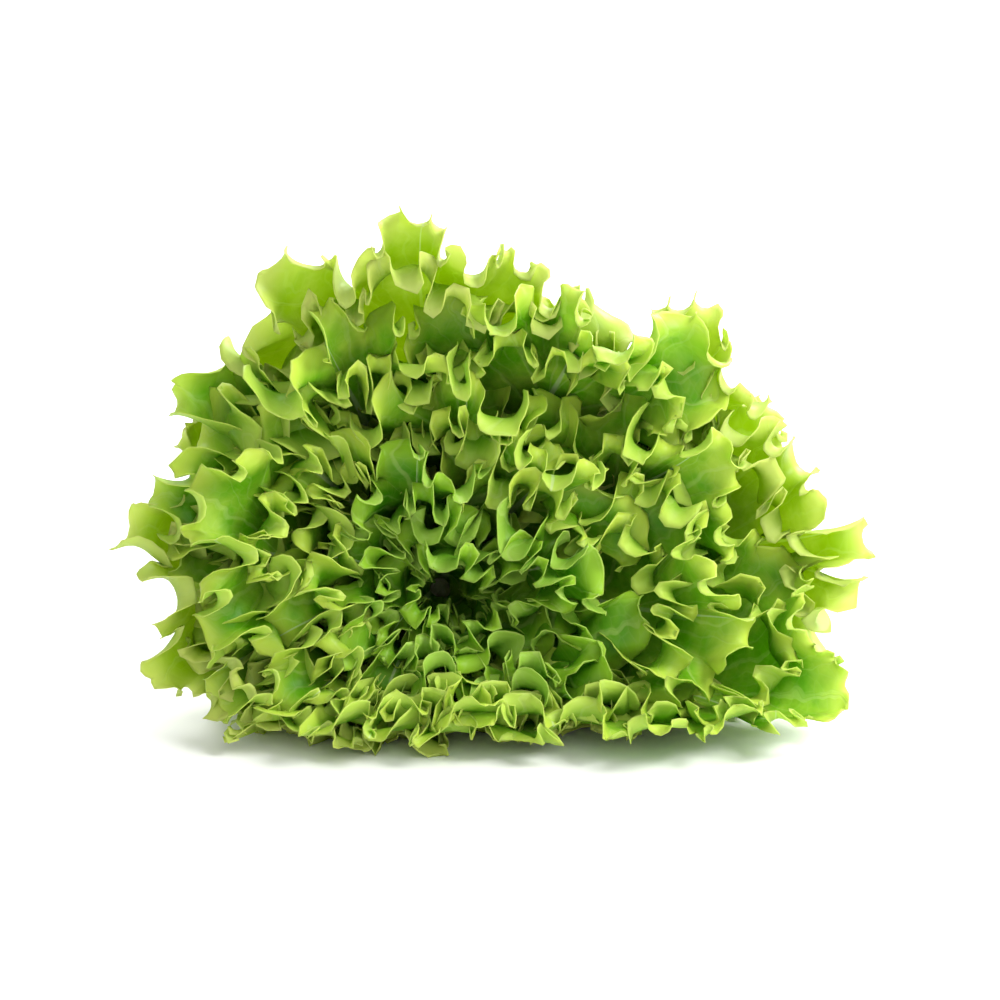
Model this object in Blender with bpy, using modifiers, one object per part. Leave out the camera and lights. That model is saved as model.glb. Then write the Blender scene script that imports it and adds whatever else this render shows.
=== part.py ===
"""Batavia lettuce: a whole cut head, lying on its side with its crown to the front (-Y).

The leaves spring from a short tapered stem in one spiral, the outermost first. Each lies in a
layer of its own, and the layers are nested surfaces round the stem that never meet, so that the
leaves clear each other. Only the frilled margins leave their layers, and a frill that would reach
a neighbour is pressed flatter. The small leaves of the heart are joined into one body.
Angles round the head's axis run from its right (+X), over the top, to its left and below.
Units are metres, +Z is up, and the origin is under the middle of the head on its resting plane.
"""

import math
import random

import bmesh
import bpy
import numpy as np
from mathutils import Matrix, Vector
from mathutils.bvhtree import BVHTree

MM = 0.001

# The head: where its stem is cut, how far its crown is raised, and how its leaves follow each other.
STEM_FOOT = Vector((-29, 83.5, 34)) * MM
TILT = math.radians(11)
LEAVES = 24
HEART_LEAVES = 8
FIRST_ANGLE = math.radians(263)
LEAF_TURN = math.radians(137.508)
SEED = 11

# The stem is a short cone: its cut foot, its tip, and the leaf feet spread between them.
STEM_FOOT_RADIUS, STEM_TIP_RADIUS, STEM_HEIGHT = 18 * MM, 8 * MM, 56 * MM
STEM_BUTT = 7 * MM
FIRST_FOOT_HEIGHT, LAST_FOOT_HEIGHT = 3 * MM, 54 * MM
FOOT_CLEARANCE = 1.3 * MM

# The heart is a small bud that its leaves are sunk into.
BUD_RADIUS, BUD_HEIGHT, BUD_BASE = 10 * MM, 24 * MM, STEM_HEIGHT + 0.6 * MM

# A leaf: lengths and widths from the outermost to the innermost, flat, before the frills. The
# lengths shorten slowly at first, and a leaf is longer where the head opens wide.
OUTER_LENGTH, INNER_LENGTH = 190 * MM, 72 * MM
LENGTH_POWER = 1.9
LEAST_LENGTH_SHARE, LENGTH_SHARE_BY_SPREAD = 0.72, 0.30
OUTER_WIDTH, INNER_WIDTH = 180 * MM, 62 * MM
FOOT_WIDTH = 15 * MM
MOST_WRAP = math.radians(115)
SIZE_VARIATION = 0.08
BLADE_THICKNESS = 0.8 * MM
RIB_THICKNESS = 2.2 * MM

# Its flat outline is round at the tip, widest past the middle and narrow down to the foot.
TIP_POWER, WIDEST_POWER, FOOT_POWER = 1.75, 1.15, 5
COLUMN_STEP, ROWS = 10.4 * MM, (0.0, 0.46, 0.78, 1.0)
TIP_MERGE = 1.1 * MM

# The outermost leaf lies flat on the resting plane, and the leaves on it ever higher.
REST_STEP, REST_POWER = 1.6 * MM, 0.8

# How close to the axis the innermost layer comes, and how slowly the layers before it close in.
INNERMOST_SHARE, LAYER_POWER = 0.985, 0.37

# A layer's lean away from the axis at its foot, belly and tip: the innermost layer's, and what the
# outermost has more. The lean changes over these stretches of a leaf's length.
FOOT_LEAN, BELLY_LEAN, TIP_LEAN = (8, 66), (-4, 70), (0, 50)
BELLY_RUN, TIP_RUN = (10 * MM, 75 * MM), (90 * MM, 170 * MM)

# The frill: the margin's waves, how deep they run into the blade and how far it bends there.
FRILL_WAVE, FRILL_DEPTH, FRILL_BEND = 46 * MM, 40 * MM, math.radians(85)
FRILL_SIDEWAYS = 3.2 * MM
WANDER_LENGTH, WANDER_TURN = 31 * MM, 0.9
BEND_POWER, SIDEWAYS_POWER = 1.3, 1.5
MOST_FRILLED = 0.85
# Shares of a leaf's length: where the frill starts and is full, and where the side veins start.
FRILL_START, FRILL_FULL = 0.25, 0.5
VEIN_START = 0.62
RIB_FADE_START = 0.1

# Pressing: the room kept between leaves, and how a frill that takes more of it gives way.
LEAF_GAP = 0.5 * MM
PRESS_ROUNDS, PRESS_SHARE = 60, 0.85

AXIS = Vector((0, -math.cos(TILT), math.sin(TILT)))
RIGHT = Vector((1, 0, 0))
UP = Vector((0, math.sin(TILT), math.cos(TILT)))

LEAF_COLOUR = (0.26, 0.50, 0.06)
HEART_COLOUR = (0.20, 0.42, 0.05)
STEM_COLOUR = (0.78, 0.80, 0.55)


def ease(value, start, end):
    """0 before start, 1 after end and smooth between."""
    share = np.clip((value - start) / (end - start), 0, 1)
    return share * share * (3 - 2 * share)


def spread(angle):
    """How wide the head opens at an angle round its axis: wide at the right, pressed flat below."""
    return (
        0.70
        + 0.17 * np.cos(angle)
        + 0.12 * np.sin(angle)
        + 0.11 * np.cos(2 * angle)
        - 0.03 * np.sin(2 * angle)
        + 0.06 * np.cos(3 * angle)
    )


def lean(run, layer, angle):
    """The angle between the axis and a layer, at a distance along the leaf from its foot."""
    foot, belly, tip = (
        math.radians(least + more * layer) for least, more in (FOOT_LEAN, BELLY_LEAN, TIP_LEAN)
    )
    bent = foot + (belly - foot) * ease(run, *BELLY_RUN) + (tip - belly) * ease(run, *TIP_RUN)
    return bent * spread(angle)


def leaf_facts(rank):
    """Place and size of one leaf. Rank 0 is the outermost, and the heart's leaves come last."""
    draw = random.Random(SEED + rank)
    share = rank / (LEAVES + HEART_LEAVES - 1)
    angle = FIRST_ANGLE + rank * LEAF_TURN
    size = draw.uniform(1 - SIZE_VARIATION, 1 + SIZE_VARIATION)
    length = OUTER_LENGTH + (INNER_LENGTH - OUTER_LENGTH) * share**LENGTH_POWER
    if rank < LEAVES:
        foot_height = FIRST_FOOT_HEIGHT + (LAST_FOOT_HEIGHT - FIRST_FOOT_HEIGHT) * rank / (LEAVES - 1)
        taper = (STEM_FOOT_RADIUS - STEM_TIP_RADIUS) * foot_height / STEM_HEIGHT
        foot_radius = STEM_FOOT_RADIUS - taper + FOOT_CLEARANCE
    else:
        inwards = (rank - LEAVES) / HEART_LEAVES
        foot_height = BUD_BASE + BUD_HEIGHT * (0.12 + 0.7 * inwards)
        foot_radius = BUD_RADIUS * (0.78 - 0.45 * inwards)
    return {
        "rank": rank,
        "angle": angle,
        "layer": (1 - INNERMOST_SHARE * share) ** LAYER_POWER,
        "length": length * (LEAST_LENGTH_SHARE + LENGTH_SHARE_BY_SPREAD * float(spread(angle))) * size,
        "width": (OUTER_WIDTH + (INNER_WIDTH - OUTER_WIDTH) * share) * size,
        "foot_height": foot_height,
        "foot_radius": foot_radius,
        "phase": draw.uniform(0, 2 * math.pi),
    }


def layer_point(leaf, angle, run):
    """Points of a leaf's layer, with their distances from the axis."""
    steps = 24
    step = run / steps
    radius = np.full_like(run, leaf["foot_radius"])
    height = np.full_like(run, leaf["foot_height"])
    for i in range(steps):
        slope = lean(step * (i + 0.5), leaf["layer"], angle)
        radius = radius + np.sin(slope) * step
        height = height + np.cos(slope) * step
    outward = np.cos(angle)[..., None] * np.array(RIGHT) + np.sin(angle)[..., None] * np.array(UP)
    return np.array(STEM_FOOT) + height[..., None] * np.array(AXIS) + radius[..., None] * outward, radius


def outline(leaf, columns):
    """The flat leaf's edge from its foot's left corner round the tip to the right one."""
    turn = np.linspace(-1, 1, 801)
    side = np.abs(turn)
    along = leaf["length"] * (1 - side**TIP_POWER)
    half_width = leaf["width"] / 2 * np.sin(np.pi * side**WIDEST_POWER)
    across = np.sign(turn) * (half_width + FOOT_WIDTH / 2 * side**FOOT_POWER)
    path = np.concatenate([[0], np.cumsum(np.hypot(np.diff(across), np.diff(along)))])
    wanted = np.linspace(0, path[-1], columns + 1)
    return np.interp(wanted, path, across), np.interp(wanted, path, along), wanted


def leaf_points(leaf, columns, press):
    """Grid of points, rows from the midrib to the margin. press calms each column's frill."""
    across, along, path = outline(leaf, columns)
    start = VEIN_START * along
    reach = np.hypot(across, along - start)
    ahead = np.array([across, along - start]) / reach
    beside = np.array([ahead[1], -ahead[0]])
    depth = np.minimum(FRILL_DEPTH, MOST_FRILLED * reach)
    frilled = ease(along, FRILL_START * leaf["length"], FRILL_FULL * leaf["length"])
    wander = WANDER_TURN * np.sin(path / WANDER_LENGTH + leaf["phase"])
    phase = 2 * np.pi * path / FRILL_WAVE + leaf["phase"] + wander
    wave, skew = np.sin(phase), np.sin(2 * phase)
    steps = 40
    forward, raised = np.zeros(columns + 1), np.zeros(columns + 1)
    grid = []
    for row in ROWS:
        done = np.round(row * steps)
        first = 0 if not grid else np.round(ROWS[len(grid) - 1] * steps)
        for i in range(int(first), int(done)):
            left = (1 - (i + 0.5) / steps) * reach
            bend = FRILL_BEND * np.clip(1 - left / depth, 0, 1) ** BEND_POWER * frilled * press * wave
            forward = forward + np.cos(bend) * reach / steps
            raised = raised + np.sin(bend) * reach / steps
        edge = np.clip(1 - (1 - row) * reach / depth, 0, 1) ** SIDEWAYS_POWER
        sideways = -FRILL_SIDEWAYS * edge * skew * frilled * press
        flat = np.array([np.zeros(columns + 1), start]) + ahead * forward + beside * sideways
        grid.append((flat[0], flat[1], raised))
    x, y, raised = (np.array(part) for part in zip(*grid))
    run = np.clip(y, 0, None)
    _, radius = layer_point(leaf, np.full_like(x, leaf["angle"]), run)
    angle = leaf["angle"] + MOST_WRAP * np.tanh(x / radius / MOST_WRAP)
    point, _ = layer_point(leaf, angle, run)
    nudge = 1 * MM
    turned, _ = layer_point(leaf, angle + nudge / radius, run)
    further, _ = layer_point(leaf, angle, run + nudge)
    normal = np.cross(further - point, turned - point)
    normal /= np.linalg.norm(normal, axis=-1, keepdims=True)
    point = point + normal * raised[..., None]
    floor = np.full_like(x, BLADE_THICKNESS / 2 + REST_STEP * leaf["rank"] ** REST_POWER)
    floor[0] += (RIB_THICKNESS - BLADE_THICKNESS) / 2 * rib_share(leaf, run[0])
    point[..., 2] = laid_down(point[..., 2], floor)
    return point


def rib_share(leaf, run):
    """How much of the thickest midrib is left at a distance along a leaf. Inner leaves have thin ones."""
    return leaf["layer"] * (1 - ease(run, RIB_FADE_START * leaf["length"], VEIN_START * leaf["length"]))


def laid_down(height, floor):
    """Heights that would pass below a leaf's floor lie flat on it, with a soft bend on the way."""
    bend = 7 * MM
    below = floor + (np.clip(height - floor, -bend, bend) + bend) ** 2 / (4 * bend)
    return np.where(height - floor > bend, height, below)


def leaf_object(name, leaf, columns):
    """A grid folded together along the midrib, as an open sheet with a Solidify on it."""
    shape = bmesh.new()
    bmesh.ops.create_grid(shape, x_segments=columns, y_segments=len(ROWS) - 1, size=1)
    column_of = shape.verts.layers.int.new("column")
    row_of = shape.verts.layers.int.new("row")
    for vert in shape.verts:
        vert[column_of] = round((vert.co.x + 1) / 2 * columns)
        vert[row_of] = round((vert.co.y + 1) / 2 * (len(ROWS) - 1))
    bmesh.ops.triangulate(shape, faces=shape.faces, quad_method="FIXED")
    points = leaf_points(leaf, columns, np.ones(columns + 1))
    for vert in shape.verts:
        vert.co = points[vert[row_of], vert[column_of]]
    midrib = [vert for vert in shape.verts if vert[row_of] == 0]
    bmesh.ops.remove_doubles(shape, verts=midrib, dist=TIP_MERGE)
    mesh = bpy.data.meshes.new(name)
    shape.to_mesh(mesh)
    shape.free()
    obj = bpy.data.objects.new(name, mesh)
    bpy.context.scene.collection.objects.link(obj)
    rib = obj.vertex_groups.new(name="rib")
    _, along, _ = outline(leaf, columns)
    share = rib_share(leaf, VEIN_START * along)
    for i, (row, column) in enumerate(zip(mesh.attributes["row"].data, mesh.attributes["column"].data)):
        rib.add([i], float(share[column.value]) if row.value == 0 else 0.0, "REPLACE")
    solidify = obj.modifiers.new("Blade", "SOLIDIFY")
    solidify.thickness = RIB_THICKNESS
    solidify.offset = 0
    solidify.vertex_group = rib.name
    solidify.thickness_vertex_group = BLADE_THICKNESS / RIB_THICKNESS
    return obj


def reshape(obj, leaf, columns, press):
    points = leaf_points(leaf, columns, press)
    mesh = obj.data
    rows, numbers = mesh.attributes["row"].data, mesh.attributes["column"].data
    for vert, row, column in zip(mesh.vertices, rows, numbers):
        vert.co = points[row.value, column.value]
    mesh.update()


def solid_of(obj, graph):
    """The thickened leaf as a search tree, with the column of each of its faces."""
    shape = bmesh.new()
    shape.from_object(obj, graph)
    column_of = shape.verts.layers.int["column"]
    columns = [[vert[column_of] for vert in face.verts] for face in shape.faces]
    corners = [frozenset(vert.index for vert in face.verts) for face in shape.faces]
    tree = BVHTree.FromBMesh(shape)
    shape.free()
    return tree, columns, corners


def press_frills(leaves, objects, columns):
    """Calms each frill where it would reach a neighbour, or its own next fold, until all are clear."""
    press = [np.ones(count + 1) for count in columns]
    for obj in objects:
        obj.modifiers["Blade"].thickness += LEAF_GAP
    for _ in range(PRESS_ROUNDS):
        bpy.context.view_layer.update()
        graph = bpy.context.evaluated_depsgraph_get()
        solids = [solid_of(obj, graph) for obj in objects]
        touched = [set() for _ in objects]
        for i, (tree, faces, corners) in enumerate(solids):
            for j in range(i, len(objects)):
                other_tree, other_faces, other_corners = solids[j]
                for a, b in tree.overlap(other_tree):
                    if i == j and corners[a] & corners[b]:
                        continue
                    touched[i].update(faces[a])
                    touched[j].update(other_faces[b])
        if not any(touched):
            break
        for i, found in enumerate(touched):
            for column in found:
                press[i][max(column - 1, 0) : column + 2] *= PRESS_SHARE
            if found:
                reshape(objects[i], leaves[i], columns[i], press[i])
    for obj in objects:
        obj.modifiers["Blade"].thickness -= LEAF_GAP


def turned(name, profile, steps):
    """A profile of (radius, height) from the axis at the top round to the axis at the bottom."""
    mesh = bpy.data.meshes.new(name)
    points = [(radius, 0, height) for radius, height in profile]
    mesh.from_pydata(points, [(i, i + 1) for i in range(len(points) - 1)], [])
    obj = bpy.data.objects.new(name, mesh)
    bpy.context.scene.collection.objects.link(obj)
    screw = obj.modifiers.new("Turn", "SCREW")
    screw.steps = screw.render_steps = steps
    screw.use_merge_vertices = True
    screw.merge_threshold = 0.05 * MM
    obj.location = STEM_FOOT
    obj.rotation_mode = "QUATERNION"
    obj.rotation_quaternion = AXIS.to_track_quat("Z", "Y")
    return obj


def stem():
    """The short core that the leaves grow from, with its edge rubbed round at the cut."""
    chamfer = 1.5 * MM
    tip = STEM_HEIGHT
    profile = [
        (0, tip),
        (STEM_TIP_RADIUS * 0.7, tip - 1 * MM),
        (STEM_TIP_RADIUS, tip - 4 * MM),
        (STEM_FOOT_RADIUS, 0),
        (STEM_FOOT_RADIUS, chamfer - STEM_BUTT),
        (STEM_FOOT_RADIUS - chamfer, -STEM_BUTT),
        (0, -STEM_BUTT),
    ]
    return turned("stem", profile, 24)


def bud():
    arc = [math.pi / 2 * i / 4 for i in range(5)]
    crown = [(BUD_RADIUS * math.sin(a), BUD_BASE + BUD_HEIGHT * (0.3 + 0.7 * math.cos(a))) for a in arc]
    foot = [(BUD_RADIUS * 0.75, BUD_BASE), (0, BUD_BASE)]
    return turned("heart", crown + foot, 12)


def keep_main_body(mesh):
    """Drops scraps and sealed hollows that joining may leave, so that one body is left."""
    shape = bmesh.new()
    shape.from_mesh(mesh)
    left, bodies = set(shape.faces), []
    while left:
        body, border = set(), [next(iter(left))]
        while border:
            face = border.pop()
            if face not in body:
                body.add(face)
                border.extend(other for edge in face.edges for other in edge.link_faces)
        left -= body
        bodies.append(body)
    main_body = max(bodies, key=len)
    scraps = [face for face in shape.faces if face not in main_body]
    bmesh.ops.delete(shape, geom=scraps, context="FACES")
    bmesh.ops.triangulate(shape, faces=shape.faces)
    shape.to_mesh(mesh)
    shape.free()


def join_heart(core, inner):
    """Fuses the bud and its leaves into one body."""
    group = bpy.data.collections.new("heart leaves")
    bpy.context.scene.collection.children.link(group)
    for obj in inner:
        bpy.context.scene.collection.objects.unlink(obj)
        group.objects.link(obj)
    union = core.modifiers.new("Join", "BOOLEAN")
    union.operation = "UNION"
    union.operand_type = "COLLECTION"
    union.solver = "MANIFOLD"
    union.collection = group
    bpy.context.view_layer.update()
    graph = bpy.context.evaluated_depsgraph_get()
    joined = bpy.data.meshes.new_from_object(core.evaluated_get(graph))
    core.modifiers.clear()
    core.data = joined
    for obj in inner:
        bpy.data.objects.remove(obj)
    bpy.data.collections.remove(group)
    keep_main_body(joined)


def painted(obj, name, colour, roughness):
    material = bpy.data.materials.get(name) or bpy.data.materials.new(name)
    material.use_nodes = True
    surface = material.node_tree.nodes["Principled BSDF"]
    surface.inputs["Base Color"].default_value = (*colour, 1)
    surface.inputs["Roughness"].default_value = roughness
    surface.inputs["Metallic"].default_value = 0
    obj.data.materials.append(material)


def main():
    for obj in list(bpy.data.objects):
        bpy.data.objects.remove(obj)
    leaves = [leaf_facts(rank) for rank in range(LEAVES + HEART_LEAVES)]
    columns = [round(outline(leaf, 1)[2][-1] / COLUMN_STEP) for leaf in leaves]
    names = [f"leaf_{i + 1:02d}" for i in range(LEAVES)] + [f"inner_{i}" for i in range(HEART_LEAVES)]
    objects = [leaf_object(*facts) for facts in zip(names, leaves, columns)]
    press_frills(leaves, objects, columns)
    heart = bud()
    join_heart(heart, objects[LEAVES:])
    for obj in objects[:LEAVES]:
        painted(obj, "leaf", LEAF_COLOUR, 0.45)
    painted(heart, "heart leaf", HEART_COLOUR, 0.45)
    painted(stem(), "stem", STEM_COLOUR, 0.6)


main()
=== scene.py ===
"""Batavia lettuce: a whole cut head lying on its side, its crown of frilled margins to the front."""

import math
import random

import bpy
import numpy as np
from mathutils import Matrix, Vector


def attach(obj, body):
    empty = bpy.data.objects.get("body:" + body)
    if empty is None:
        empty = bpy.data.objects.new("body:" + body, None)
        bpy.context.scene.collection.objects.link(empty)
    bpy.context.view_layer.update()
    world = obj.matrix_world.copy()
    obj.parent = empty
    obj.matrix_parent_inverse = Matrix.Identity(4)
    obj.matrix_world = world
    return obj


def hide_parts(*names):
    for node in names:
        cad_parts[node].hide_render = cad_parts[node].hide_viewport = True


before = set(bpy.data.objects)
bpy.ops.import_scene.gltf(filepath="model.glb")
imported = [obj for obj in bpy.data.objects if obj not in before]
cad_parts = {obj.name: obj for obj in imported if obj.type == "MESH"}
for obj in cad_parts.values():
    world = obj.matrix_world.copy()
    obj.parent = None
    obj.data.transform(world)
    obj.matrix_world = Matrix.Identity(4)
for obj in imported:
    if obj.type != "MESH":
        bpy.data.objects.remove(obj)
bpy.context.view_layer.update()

# Stem
# The short core that the leaves grow from, pale and watery, cut through with a knife at the back.
# The cut dries to a rusty rim round pale pith, and the skin carries the scars of leaves picked off.

MM = 0.001
TILT = math.radians(11)
STEM_FOOT = np.array([-29, 83.5, 34]) * MM
AXIS = np.array([0, -math.cos(TILT), math.sin(TILT)])
RIGHT = np.array([1, 0, 0])
UP = np.array([0, math.sin(TILT), math.cos(TILT)])
STEM_FOOT_RADIUS, STEM_TIP_RADIUS, STEM_HEIGHT, STEM_BUTT = 18 * MM, 8 * MM, 56 * MM, 7 * MM
CUT_CHAMFER, CUT_DISH = 1.5 * MM, 0.3 * MM
RIB_RELIEF, FINE_RIB_RELIEF, SCAR_DEPTH, SCAR_SPACING = 0.3 * MM, 0.18 * MM, 0.42 * MM, 1.1 * MM
RING_POINTS = 144


def around_axis(radius, angle, height):
    """Points at a distance from the head's axis, an angle round it and a height up the stem."""
    outward = np.cos(angle)[..., None] * RIGHT + np.sin(angle)[..., None] * UP
    return STEM_FOOT + np.asarray(height)[..., None] * AXIS + np.asarray(radius)[..., None] * outward


def ease(value, start, end):
    """0 before start, 1 after end and smooth between."""
    share = np.clip((value - start) / (end - start), 0, 1)
    return share * share * (3 - 2 * share)


def mesh_piece(name, points, faces, materials, face_material=None, maps=None):
    """A mesh object on the root body, from points and faces. maps holds UV maps as values at points."""
    mesh = bpy.data.meshes.new(name)
    counts = np.array([len(face) for face in faces], np.int32)
    corners = np.concatenate([np.asarray(face, np.int32) for face in faces])
    mesh.vertices.add(len(points))
    mesh.vertices.foreach_set("co", np.asarray(points, np.float32).ravel())
    mesh.loops.add(len(corners))
    mesh.loops.foreach_set("vertex_index", corners)
    mesh.polygons.add(len(counts))
    mesh.polygons.foreach_set("loop_start", (np.cumsum(counts) - counts).astype(np.int32))
    for material in materials:
        mesh.materials.append(material)
    if face_material is not None:
        mesh.polygons.foreach_set("material_index", np.asarray(face_material, np.int32))
    for map_name, values in (maps or {}).items():
        layer = mesh.uv_layers.new(name=map_name)
        layer.data.foreach_set("uv", np.asarray(values, np.float32)[corners].ravel())
    mesh.update(calc_edges=True)
    mesh.validate()
    mesh.shade_smooth()
    piece = bpy.data.objects.new(name, mesh)
    bpy.context.scene.collection.objects.link(piece)
    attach(piece, "root")
    return piece


class Nodes:
    """Adds shader nodes to a tree and links them, so that a material reads as a list of steps."""

    def __init__(self, tree):
        self.tree = tree
        tree.nodes.clear()

    def add(self, kind, values=(), **settings):
        """A node with its settings, and its inputs set to numbers or linked to other nodes' outputs."""
        node = self.tree.nodes.new(kind)
        for name, value in settings.items():
            setattr(node, name, value)
        for key, value in dict(values).items():
            if isinstance(value, bpy.types.NodeSocket):
                self.tree.links.new(value, node.inputs[key])
            else:
                node.inputs[key].default_value = value
        return node

    def math(self, operation, *values):
        return self.add("ShaderNodeMath", enumerate(values), operation=operation).outputs[0]

    def between(self, value, low, high, to_low=0.0, to_high=1.0):
        """value from low to high taken smoothly to to_low to to_high, and held beyond them."""
        inputs = {"Value": value, "From Min": low, "From Max": high, "To Min": to_low, "To Max": to_high}
        node = self.add("ShaderNodeMapRange", inputs, interpolation_type="SMOOTHSTEP")
        return node.outputs["Result"]

    def mixed(self, share, first, second):
        """The colour that a share takes from first to second."""
        node = self.add("ShaderNodeMix", data_type="RGBA")
        for key, value in ((0, share), (6, first), (7, second)):
            if isinstance(value, bpy.types.NodeSocket):
                self.tree.links.new(value, node.inputs[key])
            else:
                node.inputs[key].default_value = value
        return node.outputs[2]

    def noise(self, vector, scale, detail=3.0, roughness=0.55, distortion=0.0):
        inputs = {"Vector": vector, "Scale": scale, "Detail": detail, "Roughness": roughness}
        inputs["Distortion"] = distortion
        return self.add("ShaderNodeTexNoise", inputs).outputs[0]


def new_material(name):
    material = bpy.data.materials.new(name)
    material.use_nodes = True
    return material, Nodes(material.node_tree)


DARK_SKIN, PALE_SKIN, RUST = (0.52, 0.60, 0.27, 1), (0.80, 0.80, 0.56, 1), (0.36, 0.15, 0.05, 1)
PALE_PITH, GREEN_PITH = (0.80, 0.76, 0.52, 1), (0.58, 0.60, 0.33, 1)


def stem_material():
    """Watery pale green skin with length-wise fibres, and a cut that has dried rusty at its rim."""
    material, nodes = new_material("stem skin and cut")
    place = nodes.add("ShaderNodeUVMap", uv_map="round and along").outputs[0]
    split = nodes.add("ShaderNodeSeparateXYZ", {0: place}).outputs
    fibre_place = nodes.add("ShaderNodeVectorMath", {0: place, 1: (22, 1.2, 1)}, operation="MULTIPLY")
    fibres = nodes.noise(fibre_place.outputs[0], 2.0, 4)
    skin = nodes.mixed(fibres, DARK_SKIN, PALE_SKIN)
    inside = nodes.between(split[1], 0.0, 0.6)
    pith = nodes.mixed(inside, PALE_PITH, GREEN_PITH)
    blotches = nodes.noise(place, 9.0, 5, distortion=0.8)
    rim = nodes.math("MULTIPLY", nodes.between(split[1], 0.45, 0.92), nodes.between(blotches, 0.3, 0.62))
    cut = nodes.mixed(nodes.math("MULTIPLY", rim, 0.75), pith, RUST)
    on_skin = nodes.between(split[1], 0.985, 1.06)
    colour = nodes.mixed(on_skin, cut, skin)
    bump = nodes.add("ShaderNodeBump", {"Height": fibres, "Strength": 0.5, "Distance": 0.6 * MM})
    surface = nodes.add(
        "ShaderNodeBsdfPrincipled",
        {
            "Base Color": colour,
            "Roughness": nodes.between(fibres, 0.2, 0.8, 0.35, 0.55),
            "Normal": bump.outputs[0],
            "Subsurface Weight": 0.2,
            "Subsurface Radius": (0.004, 0.005, 0.002),
        },
    )
    nodes.add("ShaderNodeOutputMaterial", {"Surface": surface.outputs[0]})
    return material


def stem_piece():
    """The stem turned round the axis, from the middle of its cut to its tip, with ribs and leaf scars."""
    cut_steps = np.linspace(0, 1, 12)
    radius = list((STEM_FOOT_RADIUS - CUT_CHAMFER) * cut_steps)
    height = list(-STEM_BUTT + CUT_DISH * np.cos(cut_steps * np.pi / 2))
    distance = list(cut_steps)
    for turn in np.linspace(0, np.pi / 2, 5)[1:]:
        radius.append(STEM_FOOT_RADIUS - CUT_CHAMFER * (1 - math.sin(turn)))
        height.append(-STEM_BUTT + CUT_CHAMFER * (1 - math.cos(turn)))
        distance.append(1.0 + 0.05 * turn)
    side_foot = height[-1]
    for step in np.linspace(0, 1, 44)[1:]:
        up = side_foot + (STEM_HEIGHT - side_foot) * step
        taper = (STEM_FOOT_RADIUS - STEM_TIP_RADIUS) * max(up, 0) / STEM_HEIGHT
        tip_rounding = math.sqrt(max(1 - max((step - 0.9) / 0.1, 0) ** 2, 0))
        radius.append((STEM_FOOT_RADIUS - taper) * tip_rounding)
        height.append(up)
        distance.append(1.1 + 2.5 * step)
    angle = np.linspace(0, 2 * np.pi, RING_POINTS, endpoint=False)
    rings = (np.array(values)[:, None] + 0 * angle for values in (radius, height, distance))
    radius, height, distance = rings
    skin = ease(distance, 1.0, 1.1)
    ribs = RIB_RELIEF * np.sin(5 * angle + 0.6) + FINE_RIB_RELIEF * np.sin(13 * angle + height / (2.5 * MM))
    scars = SCAR_DEPTH * np.maximum(np.sin(height / SCAR_SPACING + 5 * angle), 0) ** 4
    radius = radius + skin * (ribs - scars) * np.clip(radius / STEM_TIP_RADIUS, 0, 1)
    points = around_axis(radius, angle + 0 * radius, height).reshape(-1, 3)
    index = np.arange(radius.size).reshape(radius.shape)
    after = np.roll(index, -1, axis=1)
    faces = np.stack([index[:-1], index[1:], after[1:], after[:-1]], -1).reshape(-1, 4)
    around = np.stack([np.cos(angle) + 0 * distance, distance], -1).reshape(-1, 2)
    return mesh_piece("stem_skin", points, faces, [stem_material()], maps={"round and along": around})


stem = stem_piece()
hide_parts("stem")

# Leaves
# Twenty-four thin blades, each on a pale crisp midrib, spring from the stem in one spiral. Their
# margins have grown faster than the blades, so that they ruffle into curled lobes edged with
# small points. They lie in nested layers, the outermost pressed flat under the head.

LEAVES, HEART_LEAVES = 24, 8
FIRST_ANGLE, LEAF_TURN = math.radians(263), math.radians(137.508)
SEED = 11
FIRST_FOOT_HEIGHT, LAST_FOOT_HEIGHT, FOOT_CLEARANCE = 3 * MM, 54 * MM, 1.3 * MM
BUD_RADIUS, BUD_HEIGHT, BUD_BASE = 10 * MM, 24 * MM, STEM_HEIGHT + 0.6 * MM
OUTER_LENGTH, INNER_LENGTH = 190 * MM, 72 * MM
LENGTH_POWER = 1.9
LEAST_LENGTH_SHARE, LENGTH_SHARE_BY_SPREAD = 0.72, 0.30
OUTER_WIDTH, INNER_WIDTH = 206 * MM, 64 * MM
FOOT_WIDTH = 15 * MM
MOST_WRAP = math.radians(115)
SIZE_VARIATION = 0.08
TIP_POWER, WIDEST_POWER, FOOT_POWER = 1.75, 1.15, 5
REST_STEP, REST_POWER = 1.6 * MM, 0.8
INNERMOST_SHARE, LAYER_POWER = 0.985, 0.37
FOOT_LEAN, BELLY_LEAN, TIP_LEAN = (8, 66), (-4, 70), (0, 50)
BELLY_RUN, TIP_RUN = (10 * MM, 75 * MM), (90 * MM, 170 * MM)
VEIN_START = 0.62

BLADE_THICKNESS = 0.35 * MM
RIB_HEIGHT, RIB_HALF_WIDTH = 2.6 * MM, 6.5 * MM
COLUMN_STEP = 0.9 * MM
# Shares of the way from the midrib to the margin, and how many columns each stretch between them
# steps over.
ROWS = np.array(
    [0, 0.012, 0.03, 0.055, 0.09, 0.14, 0.2, 0.27, 0.35, 0.43, 0.51, 0.58, 0.64, 0.7, 0.75, 0.795]
    + [0.835, 0.87, 0.9, 0.925, 0.947, 0.966, 0.983, 1.0]
)
STRIDES = [8] * 7 + [4] * 5 + [2] * 5 + [1] * 6
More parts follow.
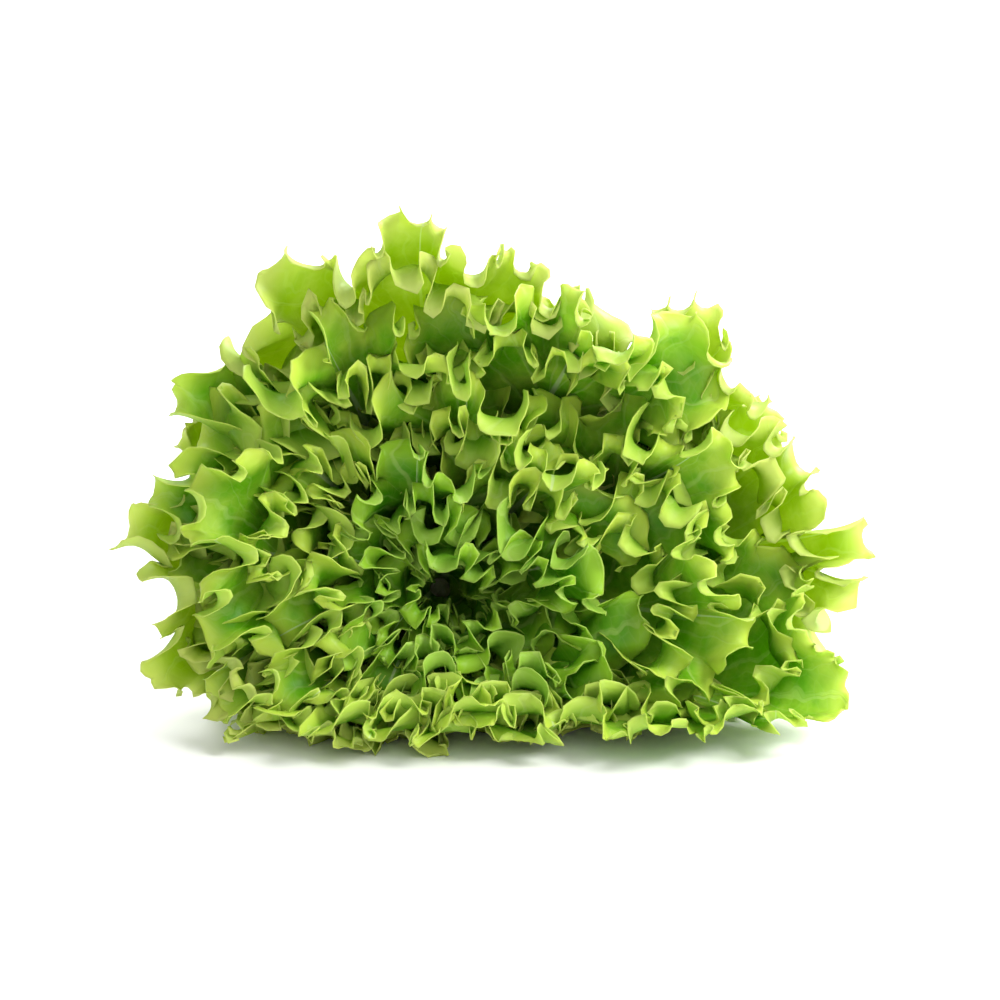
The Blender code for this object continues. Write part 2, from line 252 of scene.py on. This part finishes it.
# The same for the folds thrown back over the blade, with how far in they start, how deep they are
# and how far they turn up from it. A fold has no rib, which a half width near nothing stands for.
FOLD_ROWS = np.linspace(0, 1, 10)
FOLD_STRIDES = [4] * 3 + [2] * 6
FOLD_INSET, FOLD_DEPTH, FOLD_TURN = 33 * MM, 21 * MM, math.radians(52)
LEAST_FOLD_DEPTH, FOLD_CLEARANCE = 1 * MM, 1 * MM
NO_RIB = 0.01 * MM
BEND_POWER, SIDEWAYS_POWER = 1.25, 1.5
MOST_BEND, LARGEST_WAVE = math.radians(140), 1.3
MOST_FLARE, FLARE_DEPTH = math.radians(42), 30 * MM
LOBE_SPACING, LOBE_REACH = 34 * MM, 6 * MM
CUT_SPACING, CUT_DEPTH, CUT_POWER, MOST_CUT_SHARE = 36 * MM, 19 * MM, 3, 0.4
TOOTH_SPACING, TOOTH_REACH, TOOTH_POWER = 5.2 * MM, 3.5 * MM, 2.4
INNER_TOOTH, OUTER_TOOTH_MORE = 0.9 * MM, 1.8 * MM
# Where on a leaf's length its frills and its teeth begin, and where they are full.
FRILLS_FROM, FRILLS_FULL, TEETH_FROM, TEETH_FULL = 0.2, 0.5, 0.1, 0.35
# Where the head's outline is cut back or stands out: angle, half width in degrees, share of a leaf.
TRIMS = [(30, 26, -0.11), (118, 18, -0.07), (-18, 16, 0.05)]
TURNED_UP_SHARE = 0.7
ROOM_SHARE = 0.75


def spread(angle):
    """How wide the head opens at an angle round its axis: wide at the right, pressed flat below."""
    return (
        0.70
        + 0.17 * np.cos(angle)
        + 0.12 * np.sin(angle)
        + 0.11 * np.cos(2 * angle)
        - 0.03 * np.sin(2 * angle)
        + 0.06 * np.cos(3 * angle)
    )


def lean(run, layer, angle):
    """The angle between the axis and a layer, at a distance along the leaf from its foot."""
    foot, belly, tip = (
        math.radians(least + more * layer) for least, more in (FOOT_LEAN, BELLY_LEAN, TIP_LEAN)
    )
    bent = foot + (belly - foot) * ease(run, *BELLY_RUN) + (tip - belly) * ease(run, *TIP_RUN)
    return bent * spread(angle)


def trimmed(angle):
    """How long the leaves at an angle round the axis are beside the plain form."""
    share = 1.0
    for place, half_width, change in TRIMS:
        away = math.degrees(math.remainder(angle - math.radians(place), 2 * math.pi))
        share += change * math.exp(-((away / half_width) ** 2))
    return share


def leaf_facts(rank):
    """Place and size of one leaf. Rank 0 is the outermost, and the heart's leaves come last."""
    draw = np.random.default_rng(SEED + rank)
    size = random.Random(SEED + rank).uniform(1 - SIZE_VARIATION, 1 + SIZE_VARIATION)
    share = rank / (LEAVES + HEART_LEAVES - 1)
    angle = FIRST_ANGLE + rank * LEAF_TURN
    length = OUTER_LENGTH + (INNER_LENGTH - OUTER_LENGTH) * share**LENGTH_POWER
    length *= LEAST_LENGTH_SHARE + LENGTH_SHARE_BY_SPREAD * float(spread(angle))
    if rank < LEAVES:
        foot_height = FIRST_FOOT_HEIGHT + (LAST_FOOT_HEIGHT - FIRST_FOOT_HEIGHT) * rank / (LEAVES - 1)
        taper = (STEM_FOOT_RADIUS - STEM_TIP_RADIUS) * foot_height / STEM_HEIGHT
        foot_radius = STEM_FOOT_RADIUS - taper + FOOT_CLEARANCE
    else:
        inwards = (rank - LEAVES) / HEART_LEAVES
        foot_height = BUD_BASE + BUD_HEIGHT * (0.12 + 0.7 * inwards)
        foot_radius = BUD_RADIUS * (0.78 - 0.45 * inwards)
    return {
        "rank": rank,
        "angle": angle,
        "layer": (1 - INNERMOST_SHARE * share) ** LAYER_POWER,
        "length": length * size * trimmed(angle),
        "width": (OUTER_WIDTH + (INNER_WIDTH - OUTER_WIDTH) * share) * size,
        "foot_height": foot_height,
        "foot_radius": foot_radius,
        "draw": draw,
    }


def layer_point(leaf, angle, run):
    """Points of a leaf's layer, with their distances from the axis."""
    steps = 24
    step = run / steps
    radius = np.full_like(run, leaf["foot_radius"])
    height = np.full_like(run, leaf["foot_height"])
    for i in range(steps):
        slope = lean(step * (i + 0.5), leaf["layer"], angle)
        radius = radius + np.sin(slope) * step
        height = height + np.cos(slope) * step
    return around_axis(radius, angle, height), radius


def outline(leaf):
    """The flat leaf's edge from its foot's left corner round the tip to the right one."""
    turn = np.linspace(-1, 1, 1601)
    side = np.abs(turn)
    along = leaf["length"] * (1 - side**TIP_POWER)
    half_width = leaf["width"] / 2 * np.sin(np.pi * side**WIDEST_POWER)
    across = np.sign(turn) * (half_width + FOOT_WIDTH / 2 * side**FOOT_POWER)
    path = np.concatenate([[0], np.cumsum(np.hypot(np.diff(across), np.diff(along)))])
    columns = 16 * round(path[-1] / COLUMN_STEP / 16)
    wanted = np.linspace(0, path[-1], columns + 1)
    return np.interp(wanted, path, across), np.interp(wanted, path, along), wanted


def wandering(draw, path, scale):
    """Smooth random values between -1 and 1 along a path, changing over distances like scale."""
    count = int(path[-1] / scale) + 4
    values = draw.uniform(-1, 1, count)
    place = path / path[-1] * (count - 2)
    low = np.floor(place).astype(int)
    part = place - low
    part = part * part * (3 - 2 * part)
    return values[low] * (1 - part) + values[low + 1] * part


def meander(draw, path, wavelength, wander):
    """Waves of uneven length along the margin: their height, the sideways curl that goes with each,
    and how large they are beside waves of the plain wavelength."""
    drift = wandering(draw, path, 2.6 * wavelength) + 0.6 * wandering(draw, path, 6 * wavelength)
    size = np.minimum(np.exp(wander * (drift - 0.1)), LARGEST_WAVE)
    passed = np.concatenate([[0], np.cumsum(np.diff(path) / size[1:])])
    phase = 2 * np.pi * passed / wavelength + draw.uniform(0, 2 * np.pi)
    height = 0.95 + 0.3 * wandering(draw, path, 1.4 * wavelength) + 0.15 * wandering(draw, path, 60 * MM)
    return height * (np.sin(phase) - 0.1 * np.sin(3 * phase)), height * size * np.sin(2 * phase), size


def margin_teeth(draw, path, layer):
    """How far the margin's small points stand out: sharp, with hollow arcs between, and longer on
    the outer leaves."""
    place = path / TOOTH_SPACING + 0.35 * wandering(draw, path, 14 * MM)
    point = 1 - 2 * np.abs(place - np.floor(place) - 0.5)
    height = (INNER_TOOTH + OUTER_TOOTH_MORE * layer**3) * (1 + 0.7 * wandering(draw, path, 13 * MM))
    return height * point**TOOTH_POWER


def leaf_plan(leaf):
    """Where each strip of a leaf starts and heads in the flat leaf, and how its margin is cut."""
    draw = leaf["draw"]
    across, along, path = outline(leaf)
    start = VEIN_START * along
    reach = np.hypot(across, along - start)
    ahead = np.array([across, along - start]) / reach
    frilled = ease(along, FRILLS_FROM * leaf["length"], FRILLS_FULL * leaf["length"])
    reach = reach + frilled * LOBE_REACH * wandering(draw, path, LOBE_SPACING)
    cut_place = path / CUT_SPACING + 0.6 * wandering(draw, path, 70 * MM)
    cuts = (0.5 + 0.5 * np.cos(2 * np.pi * cut_place)) ** CUT_POWER
    cut_depth = np.minimum(CUT_DEPTH, MOST_CUT_SHARE * reach)
    cut_depth *= 0.75 + 0.5 * wandering(draw, path, 50 * MM)
    reach = reach - frilled * cuts * cut_depth
    toothed = ease(along, TEETH_FROM * leaf["length"], TEETH_FULL * leaf["length"])
    return {
        "path": path,
        "start": start,
        "reach": reach,
        "ahead": ahead,
        "beside": np.array([ahead[1], -ahead[0]]),
        "frilled": frilled,
        "teeth": margin_teeth(draw, path, leaf["layer"]) * toothed,
    }


def ruffled(leaf, plan, frills, rows, reach, forward, raised, turn):
    """Strips bent into ruffles: how far forward, sideways and raised each row is, and what is left."""
    waves = []
    for wavelength, wander, depth, bend, most in frills:
        wave, skew, size = meander(leaf["draw"], plan["path"], wavelength, wander)
        waves.append((np.minimum(depth * size, 0.9 * reach), math.radians(bend), most, wave, skew))
    flare = -MOST_FLARE * (1 - leaf["layer"]) ** 0.6
    steps = 6
    grid = []
    for before, share in zip(np.concatenate([[0], rows[:-1]]), rows):
        for i in range(steps):
            left = (1 - before - (share - before) * (i + 0.5) / steps) * reach
            bends = [
                most * np.clip(1 - left / depth, 0, 1) ** BEND_POWER * wave
                for depth, most, _, wave, _ in waves
            ]
            bends.append(flare * np.clip(1 - left / FLARE_DEPTH, 0, 1))
            bend = MOST_BEND * np.tanh((turn + sum(bends) * plan["frilled"]) / MOST_BEND)
            forward = forward + np.cos(bend) * (share - before) * reach / steps
            raised = raised + np.sin(bend) * (share - before) * reach / steps
        left = (1 - share) * reach
        skews = [
            most * np.clip(1 - left / depth, 0, 1) ** SIDEWAYS_POWER * skew
            for depth, _, most, _, skew in waves
        ]
        point = plan["teeth"] * np.clip(1 - left / TOOTH_REACH, 0, 1) ** 2
        sideways = -sum(skews) * plan["frilled"]
        grid.append((forward + point * np.cos(bend), sideways, raised + point * np.sin(bend), left))
    return [np.array(part) for part in zip(*grid)]


def on_layer(leaf, plan, forward, sideways, raised):
    """Points in the head of places given along the strips, with the side that faces the axis."""
    flat = plan["ahead"][:, None] * forward + plan["beside"][:, None] * sideways
    run = np.clip(plan["start"] + flat[1], 0, None)
    _, radius = layer_point(leaf, np.full_like(run, leaf["angle"]), run)
    angle = leaf["angle"] + MOST_WRAP * np.tanh(flat[0] / radius / MOST_WRAP)
    point, _ = layer_point(leaf, angle, run)
    nudge = 1 * MM
    turned, _ = layer_point(leaf, angle + nudge / radius, run)
    further, _ = layer_point(leaf, angle, run + nudge)
    inward = np.cross(further - point, turned - point)
    inward /= np.linalg.norm(inward, axis=-1, keepdims=True)
    floor = BLADE_THICKNESS / 2 + REST_STEP * leaf["rank"] ** REST_POWER
    point[..., 2] = laid_down(point[..., 2], floor)
    room = ROOM_SHARE * radius
    raised = np.where(raised > 0, room * np.tanh(raised / room), raised)
    point = point + inward * raised[..., None]
    point[..., 2] = stood_up(point[..., 2], floor)
    return point


def laid_down(height, floor):
    """Heights that would pass below a leaf's floor lie flat on it, with a soft bend on the way."""
    bend = 7 * MM
    below = floor + (np.clip(height - floor, -bend, bend) + bend) ** 2 / (4 * bend)
    return np.where(height - floor > bend, height, below)


def stood_up(height, floor):
    """Heights of frills that would pass below a leaf's floor, turned up from it."""
    bend = 2 * MM
    over = np.sqrt((height - floor) ** 2 + bend**2) - bend
    return floor + np.where(height > floor, over, TURNED_UP_SHARE * over)


def thick_sheet(point, ribbed, strides, folded):
    """A grid made a sheet with two faces and a rim. ribbed is how much its back stands out further,
    strides how many columns each stretch skips, and folded whether row 0 is joined to itself."""
    columns = point.shape[1] - 1
    last = len(point) - 1
    inward = np.cross(np.gradient(point, axis=0), np.gradient(point, axis=1))
    inward /= np.linalg.norm(inward, axis=-1, keepdims=True) + 1e-12
    kept = np.full(point.shape[:2], -1)
    for row in range(last + 1):
        kept[row, :: strides[min(row, last - 1)]] = 0
    if folded:
        inward[0] = inward[0] + inward[0, ::-1]
        inward[0] /= np.linalg.norm(inward[0], axis=-1, keepdims=True) + 1e-12
        kept[0, columns // 2 + 1 :] = -1
    used = kept == 0
    kept[used] = np.arange(used.sum())
    if folded:
        kept[0, columns // 2 + 1 :] = kept[0, : columns // 2][::-1]
    front = point + inward * BLADE_THICKNESS / 2
    back = point - inward * (BLADE_THICKNESS / 2 + ribbed)[..., None]

    faces = []
    for row in range(last):
        step = strides[row]
        low, high = kept[row, ::step], kept[row + 1, ::step]
        if strides[min(row + 1, last - 1)] == step:
            faces += list(np.stack([low[:-1], high[:-1], high[1:], low[1:]], -1))
        else:
            middle = kept[row + 1, step // 2 :: step]
            faces += list(np.stack([low[:-1], high[:-1], middle], -1))
            faces += list(np.stack([low[:-1], middle, low[1:]], -1))
            faces += list(np.stack([low[1:], middle, high[1:]], -1))
    border = list(kept[:, 0]) + list(kept[last, 1:]) + list(kept[-2::-1, -1])
    border += [] if folded else list(kept[0, -1 :: -strides[0]])[1:]
    border = np.array([index for index in border if index >= 0])
    count = int(used.sum())
    rim = np.stack([border[:-1], border[:-1] + count, border[1:] + count, border[1:]], -1)
    backs = [face[::-1] + count for face in faces]
    points = np.concatenate([front[used], back[used]])
    points[:, 2] = np.maximum(points[:, 2], 0)
    return points, faces + backs + list(rim), [0] * len(faces) + [1] * len(faces) + [0] * len(rim), used


def blade_sheet(leaf, plan, frills):
    """A leaf's blade with the midrib standing out on its back, and the strips that it is made of."""
    reach = plan["reach"]
    nothing = np.zeros_like(reach)
    forward, sideways, raised, left = ruffled(leaf, plan, frills, ROWS, reach, nothing, nothing, 0.0)
    blade = on_layer(leaf, plan, forward, sideways, raised)
    flat_x = ROWS[:, None] * plan["ahead"][0] * reach
    flat_y = plan["start"] + ROWS[:, None] * plan["ahead"][1] * reach
    up_rib = np.clip(1 - flat_y / leaf["length"], 0, 1)
    half_width = RIB_HALF_WIDTH * (0.03 + 0.97 * up_rib**1.5) * leaf["layer"]
    across_rib = np.clip(1 - (flat_x / half_width) ** 2, 0, 1) ** 1.5
    rib = RIB_HEIGHT * up_rib**1.4 * leaf["layer"] * across_rib
    places = [flat_x, flat_y, plan["path"] + 0 * left, left, ROWS[:, None] + 0 * flat_x, half_width]
    return *thick_sheet(blade, rib, STRIDES, True), places, (forward, raised)


def fold_sheet(leaf, plan, frills, strips):
    """The folds thrown back over a blade's face, which start from its strips and never pass through it."""
    draw, path, reach = leaf["draw"], plan["path"], plan["reach"]
    inset = FOLD_INSET * (1 + 0.3 * wandering(draw, path, 40 * MM))
    share = np.clip(1 - inset / reach, 0.3, 1)
    forward, seam = (
        np.array([np.interp(at, ROWS, column) for at, column in zip(share, strip.T)]) for strip in strips
    )
    depth = FOLD_DEPTH * plan["frilled"] * (1 + 0.3 * wandering(draw, path, 45 * MM)) + LEAST_FOLD_DEPTH
    forward, sideways, raised, left = ruffled(
        leaf, plan, frills, FOLD_ROWS, depth, forward, seam, FOLD_TURN
    )
    raised = seam + np.hypot(raised - seam, FOLD_CLEARANCE)
    whole = np.flatnonzero(plan["frilled"] > 0.2)
    part = slice(whole[0] // 8 * 8, whole[-1] // 8 * 8 + 1)
    fold = on_layer(leaf, plan, forward, sideways, raised)[:, part]
    along = share * reach + FOLD_ROWS[:, None] * depth
    flat_x = (plan["ahead"][0] * along)[:, part]
    flat_y = (plan["start"] + plan["ahead"][1] * along)[:, part]
    left = left[:, part]
    places = [flat_x, flat_y, path[part] + 0 * left, left, 0.9 + 0 * left, NO_RIB + 0 * left]
    return *thick_sheet(fold, 0 * left, FOLD_STRIDES, False), places


def leaf_piece(name, leaf, frills, materials):
    """One leaf: its blade and its folds, with UV maps of where each point lies in the flat leaf."""
    plan = leaf_plan(leaf)
    points, faces, sides, used, places, strips = blade_sheet(leaf, plan, frills)
    more_points, more_faces, more_sides, more_used, more_places = fold_sheet(leaf, plan, frills, strips)
    maps = [
        np.concatenate([np.tile(place[used], 2), np.tile(more_place[more_used], 2)])
        for place, more_place in zip(places, more_places)
    ]
    faces = faces + [face + len(points) for face in more_faces]
    points = np.concatenate([points, more_points])
    dm = 100 * MM
    maps = {
        "leaf": np.stack(maps[0:2], -1) / dm,
        "strip": np.stack(maps[2:4], -1) / dm,
        "rib": np.stack([maps[4], maps[5] / dm], -1),
    }
    return mesh_piece(name, points, faces, materials, sides + more_sides, maps)


def vein_group():
    """Midrib, side veins that fork towards the margin, and a fine net between, from the flat leaf.
    Lengths are in decimetres, as in the UV maps."""
    group = bpy.data.node_groups.new("leaf veins", "ShaderNodeTree")
    for name in ("Rib", "Veins", "Net", "Height"):
        group.interface.new_socket(name, in_out="OUTPUT", socket_type="NodeSocketFloat")
    nodes = Nodes(group)
    flat = nodes.add("ShaderNodeUVMap", uv_map="leaf").outputs[0]
    strip = nodes.add("ShaderNodeUVMap", uv_map="strip").outputs[0]
    rib_place = nodes.add("ShaderNodeUVMap", uv_map="rib").outputs[0]
    flat_x = nodes.add("ShaderNodeSeparateXYZ", {0: flat}).outputs[0]
    path = nodes.add("ShaderNodeSeparateXYZ", {0: strip}).outputs[0]
    share, half_width = nodes.add("ShaderNodeSeparateXYZ", {0: rib_place}).outputs[:2]
    distance = nodes.math("ABSOLUTE", flat_x)
    rib = nodes.between(nodes.math("DIVIDE", distance, half_width), 0.45, 1.15, 1.0, 0.0)

    wobble = nodes.noise(flat, 6.0, 2)
    shifted = nodes.math("ADD", path, nodes.math("MULTIPLY", nodes.math("SUBTRACT", wobble, 0.5), 0.16))

    def side_veins(spacing, width_low, width_high, from_share):
        """Lines that run from the midrib to the margin, this far apart there in decimetres."""
        turns = nodes.math("FRACT", nodes.math("DIVIDE", shifted, spacing))
        away = nodes.math("MULTIPLY", nodes.math("ABSOLUTE", nodes.math("SUBTRACT", turns, 0.5)), spacing)
        width = nodes.between(share, 0.0, 1.0, width_low, width_high)
        line = nodes.between(nodes.math("DIVIDE", away, width), 0.4, 1.0, 1.0, 0.0)
        return nodes.math("MULTIPLY", line, nodes.between(share, from_share, from_share + 0.2))

    main = side_veins(0.26, 0.028, 0.006, -0.3)
    forks = side_veins(0.087, 0.014, 0.005, 0.3)
    veins = nodes.math("MAXIMUM", main, nodes.math("MULTIPLY", forks, 0.6))
    net_place = nodes.add("ShaderNodeVectorMath", {0: flat, 1: (1.0, 0.8, 1.0)}, operation="MULTIPLY")
    cells = nodes.add(
        "ShaderNodeTexVoronoi",
        {"Vector": net_place.outputs[0], "Scale": 26.0, "Randomness": 0.9},
        feature="DISTANCE_TO_EDGE",
    ).outputs[0]
    net = nodes.between(cells, 0.0, 0.09, 1.0, 0.0)
    puffs = nodes.between(cells, 0.0, 0.45)
    height = nodes.math("ADD", nodes.math("MULTIPLY", puffs, 0.25), nodes.math("MULTIPLY", veins, -0.4))
    height = nodes.math("ADD", height, nodes.math("MULTIPLY", nodes.noise(flat, 9.0, 2), 2.2))
    nodes.add("NodeGroupOutput", {"Rib": rib, "Veins": veins, "Net": net, "Height": height})
    return group


def margin_group():
    """The pale thin edge of a leaf, the few specks where it has turned brown, and the paler green beside
    it, partly young growth and partly painted light on the frills that stand up into the light.
    Lengths are in decimetres, as in the UV maps."""
    group = bpy.data.node_groups.new("leaf margin", "ShaderNodeTree")
    for name in ("Edge", "Browned", "Young and lit"):
        group.interface.new_socket(name, in_out="OUTPUT", socket_type="NodeSocketFloat")
    nodes = Nodes(group)
    strip = nodes.add("ShaderNodeUVMap", uv_map="strip").outputs[0]
    path, left, _ = nodes.add("ShaderNodeSeparateXYZ", {0: strip}).outputs
    uneven = nodes.noise(strip, 30.0, 2)
    inside = nodes.math("SUBTRACT", left, nodes.math("MULTIPLY", uneven, 0.003))
    edge = nodes.between(inside, 0.0, 0.004, 1.0, 0.0)
    specks = nodes.between(nodes.noise(strip, 7.0, 1), 0.66, 0.74)
    browned = nodes.math("MULTIPLY", specks, edge)
    # Partly painted light: the blade within 15 mm of the margin is made paler, both as young growth and as
    # the lit frills.
    young_and_lit = nodes.between(left, 0.0, 0.15, 1.0, 0.0)
    nodes.add("NodeGroupOutput", {"Edge": edge, "Browned": browned, "Young and lit": young_and_lit})
    return group


VEINS, MARGIN = vein_group(), margin_group()
PALE_VEIN, PALE_RIB = (0.62, 0.74, 0.24, 1), (0.66, 0.76, 0.42, 1)
PALE_EDGE, BROWN_EDGE = (0.66, 0.70, 0.24, 1), (0.42, 0.15, 0.05, 1)


def leaf_material(name, deep, bright, through, roughness, thinness):
    """Fresh leaf: deep and bright are the ends of its greens, through colours the light that passes
    it, and thinness is the share of light that does."""
    material, nodes = new_material(name)
    veins = nodes.add("ShaderNodeGroup", node_tree=VEINS).outputs
    margin = nodes.add("ShaderNodeGroup", node_tree=MARGIN).outputs
    flat = nodes.add("ShaderNodeUVMap", uv_map="leaf").outputs[0]
    mottle = nodes.noise(flat, 5.0, 4, 0.6)
    blade = nodes.mixed(nodes.between(mottle, 0.35, 0.8, 0.0, 0.6), (*deep, 1), (*bright, 1))
    # Within 15 mm of the margin the blade turns to its bright green: partly paler young growth, partly
    # painted light on the frills, which leaves the blade further in darker as painted shade.
    blade = nodes.mixed(nodes.math("MULTIPLY", margin["Young and lit"], 0.85), blade, (*bright, 1))
    overlays = [
        (veins["Net"], 0.07, PALE_VEIN),
        (veins["Veins"], 0.25, PALE_VEIN),
        (veins["Rib"], 0.6, PALE_RIB),
        (margin["Edge"], 0.25, PALE_EDGE),
        (margin["Browned"], 0.7, BROWN_EDGE),
    ]
    colour = blade
    for cover, strength, tint in overlays:
        colour = nodes.mixed(nodes.math("MULTIPLY", cover, strength), colour, tint)
    bump = nodes.add("ShaderNodeBump", {"Height": veins["Height"], "Strength": 0.35, "Distance": 0.7 * MM})
    surface = nodes.add(
        "ShaderNodeBsdfPrincipled",
        {
            "Base Color": colour,
            "Roughness": nodes.between(mottle, 0.2, 0.8, roughness - 0.06, roughness + 0.08),
            "Normal": bump.outputs[0],
            "Specular IOR Level": 0.25,
        },
    )
    glow = nodes.mixed(0.75, colour, (*through, 1))
    light = nodes.add("ShaderNodeBsdfTranslucent", {"Color": glow, "Normal": bump.outputs[0]})
    both = nodes.add("ShaderNodeMixShader", {0: thinness, 1: surface.outputs[0], 2: light.outputs[0]})
    nodes.add("ShaderNodeOutputMaterial", {"Surface": both.outputs[0]})
    return material


# Painted light: the outer leaves' greens, and the light through them, are paler and yellower than the
# middle leaves', as a painted glow of the back light shining through them.
THROUGH_OUTER, THROUGH_MIDDLE = (0.66, 0.85, 0.01), (0.40, 0.80, 0.0)
OUTER_GLOW_PAINTED = leaf_material(
    "glow-painted outer leaf", (0.26, 0.44, 0.0), (0.76, 0.80, 0.21), THROUGH_OUTER, 0.42, 0.42
)
OUTER_BACK_GLOW_PAINTED = leaf_material(
    "glow-painted outer leaf back", (0.29, 0.46, 0.01), (0.70, 0.79, 0.22), THROUGH_OUTER, 0.46, 0.42
)
MIDDLE = leaf_material(
    "middle leaf", (0.11, 0.36, 0.0), (0.68, 0.80, 0.10), THROUGH_MIDDLE, 0.40, 0.32
)
MIDDLE_BACK = leaf_material(
    "middle leaf back", (0.14, 0.38, 0.0), (0.62, 0.77, 0.12), THROUGH_MIDDLE, 0.45, 0.32
)

# Each order of ruffle: its wavelength along the margin, how unevenly it wanders, how deep it runs
# into the blade, how far it bends the blade, and how far it leans over sideways.
OUTER_FRILLS = [
    (60 * MM, 0.3, 50 * MM, 42, 4.0 * MM),
    (17 * MM, 0.5, 13 * MM, 112, 2.2 * MM),
    (8 * MM, 0.4, 5 * MM, 60, 0.6 * MM),
]
MIDDLE_FRILLS = [
    (60 * MM, 0.3, 50 * MM, 45, 4.0 * MM),
    (19 * MM, 0.55, 14.5 * MM, 118, 2.4 * MM),
    (8 * MM, 0.4, 5.5 * MM, 62, 0.6 * MM),
]

OUTER_LEAVES = 7
for rank in range(LEAVES):
    facts = leaf_facts(rank)
    outer = rank < OUTER_LEAVES
    piece = leaf_piece(
        f"leaf_blade_{rank + 1:02d}",
        facts,
        OUTER_FRILLS if outer else MIDDLE_FRILLS,
        [OUTER_GLOW_PAINTED, OUTER_BACK_GLOW_PAINTED] if outer else [MIDDLE, MIDDLE_BACK],
    )
    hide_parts(f"leaf_{rank + 1:02d}")

# Heart
# Eight young leaves still folded round the bud at the stem's tip. They are smaller and more tightly
# ruffled than the leaves outside them. The light hardly reaches them, so their greens are set darker
# than the middle leaves' as painted shade, though young leaves are paler.

# Painted shade: the heart leaves' greens, and the light through them, are darker than the middle leaves'.
THROUGH_HEART = (0.32, 0.76, 0.0)
HEART_SHADE_PAINTED = leaf_material("heart leaf", (0.05, 0.25, 0.0), (0.36, 0.59, 0.035), THROUGH_HEART, 0.40, 0.30)
HEART_BACK_SHADE_PAINTED = leaf_material(
    "heart leaf back", (0.08, 0.29, 0.0), (0.40, 0.61, 0.080), THROUGH_HEART, 0.45, 0.30
)
HEART_FRILLS = [
    (45 * MM, 0.3, 40 * MM, 45, 3.0 * MM),
    (19 * MM, 0.5, 15 * MM, 115, 2.3 * MM),
    (8 * MM, 0.4, 6 * MM, 58, 0.6 * MM),
]

for rank in range(LEAVES, LEAVES + HEART_LEAVES):
    name = f"heart_leaf_{rank - LEAVES + 1}"
    piece = leaf_piece(name, leaf_facts(rank), HEART_FRILLS, [HEART_SHADE_PAINTED, HEART_BACK_SHADE_PAINTED])
    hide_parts("heart")

# Floor, light and camera
# A plain pale floor under an even sky. A soft main light stands at the upper right and another behind
# it shines through the outer leaves, a weak one fills the front, and one whitens the far floor.

FLOOR_HALF = 4.0
floor_corners = [(x * FLOOR_HALF, y * FLOOR_HALF, 0) for x, y in ((-1, -1), (1, -1), (1, 1), (-1, 1))]
floor_mesh = bpy.data.meshes.new("floor")
floor_mesh.from_pydata(floor_corners, [], [(0, 1, 2, 3)])
floor = bpy.data.objects.new("floor", floor_mesh)
bpy.context.scene.collection.objects.link(floor)
floor_material, nodes = new_material("pale floor")
floor_surface = nodes.add("ShaderNodeBsdfPrincipled", {"Base Color": (0.9, 0.9, 0.9, 1), "Roughness": 0.7})
nodes.add("ShaderNodeOutputMaterial", {"Surface": floor_surface.outputs[0]})
floor_mesh.materials.append(floor_material)

world = bpy.data.worlds.new("studio")
world.use_nodes = True
nodes = Nodes(world.node_tree)
sky = nodes.add("ShaderNodeBackground", {"Color": (1, 1, 1, 1), "Strength": 0.80})
nodes.add("ShaderNodeOutputWorld", {"Surface": sky.outputs[0]})
bpy.context.scene.world = world

MIDDLE_OF_HEAD = Vector((-0.0036, 0.0, 0.087))


def soft_light(name, place, size, power, target=MIDDLE_OF_HEAD):
    lamp = bpy.data.lights.new(name, "AREA")
    lamp.shape = "DISK"
    lamp.size = size
    lamp.energy = power
    holder = bpy.data.objects.new(name, lamp)
    bpy.context.scene.collection.objects.link(holder)
    holder.location = place
    holder.rotation_euler = (Vector(target) - Vector(place)).to_track_quat("-Z", "Y").to_euler()


soft_light("main light", (1.0, -0.35, 1.05), 0.7, 21)
soft_light("back light", (0.7, 0.9, 0.8), 0.6, 17)
soft_light("front light", (0.3, -1.2, 0.9), 0.9, 3)
soft_light("backdrop light", (0.0, 2.4, 2.2), 2.5, 110, (0.0, 3.0, 0.0))

CAMERA_DISTANCE, CAMERA_HEIGHT_ANGLE = 1.25, math.radians(14)
camera = bpy.data.cameras.new("camera")
camera.lens = 109
camera_holder = bpy.data.objects.new("camera", camera)
bpy.context.scene.collection.objects.link(camera_holder)
backwards = Vector((0, -math.cos(CAMERA_HEIGHT_ANGLE), math.sin(CAMERA_HEIGHT_ANGLE)))
camera_holder.location = MIDDLE_OF_HEAD + backwards * CAMERA_DISTANCE
camera_holder.rotation_euler = (-backwards).to_track_quat("-Z", "Y").to_euler()
bpy.context.scene.camera = camera_holder
bpy.context.scene.view_settings.view_transform = "Standard"
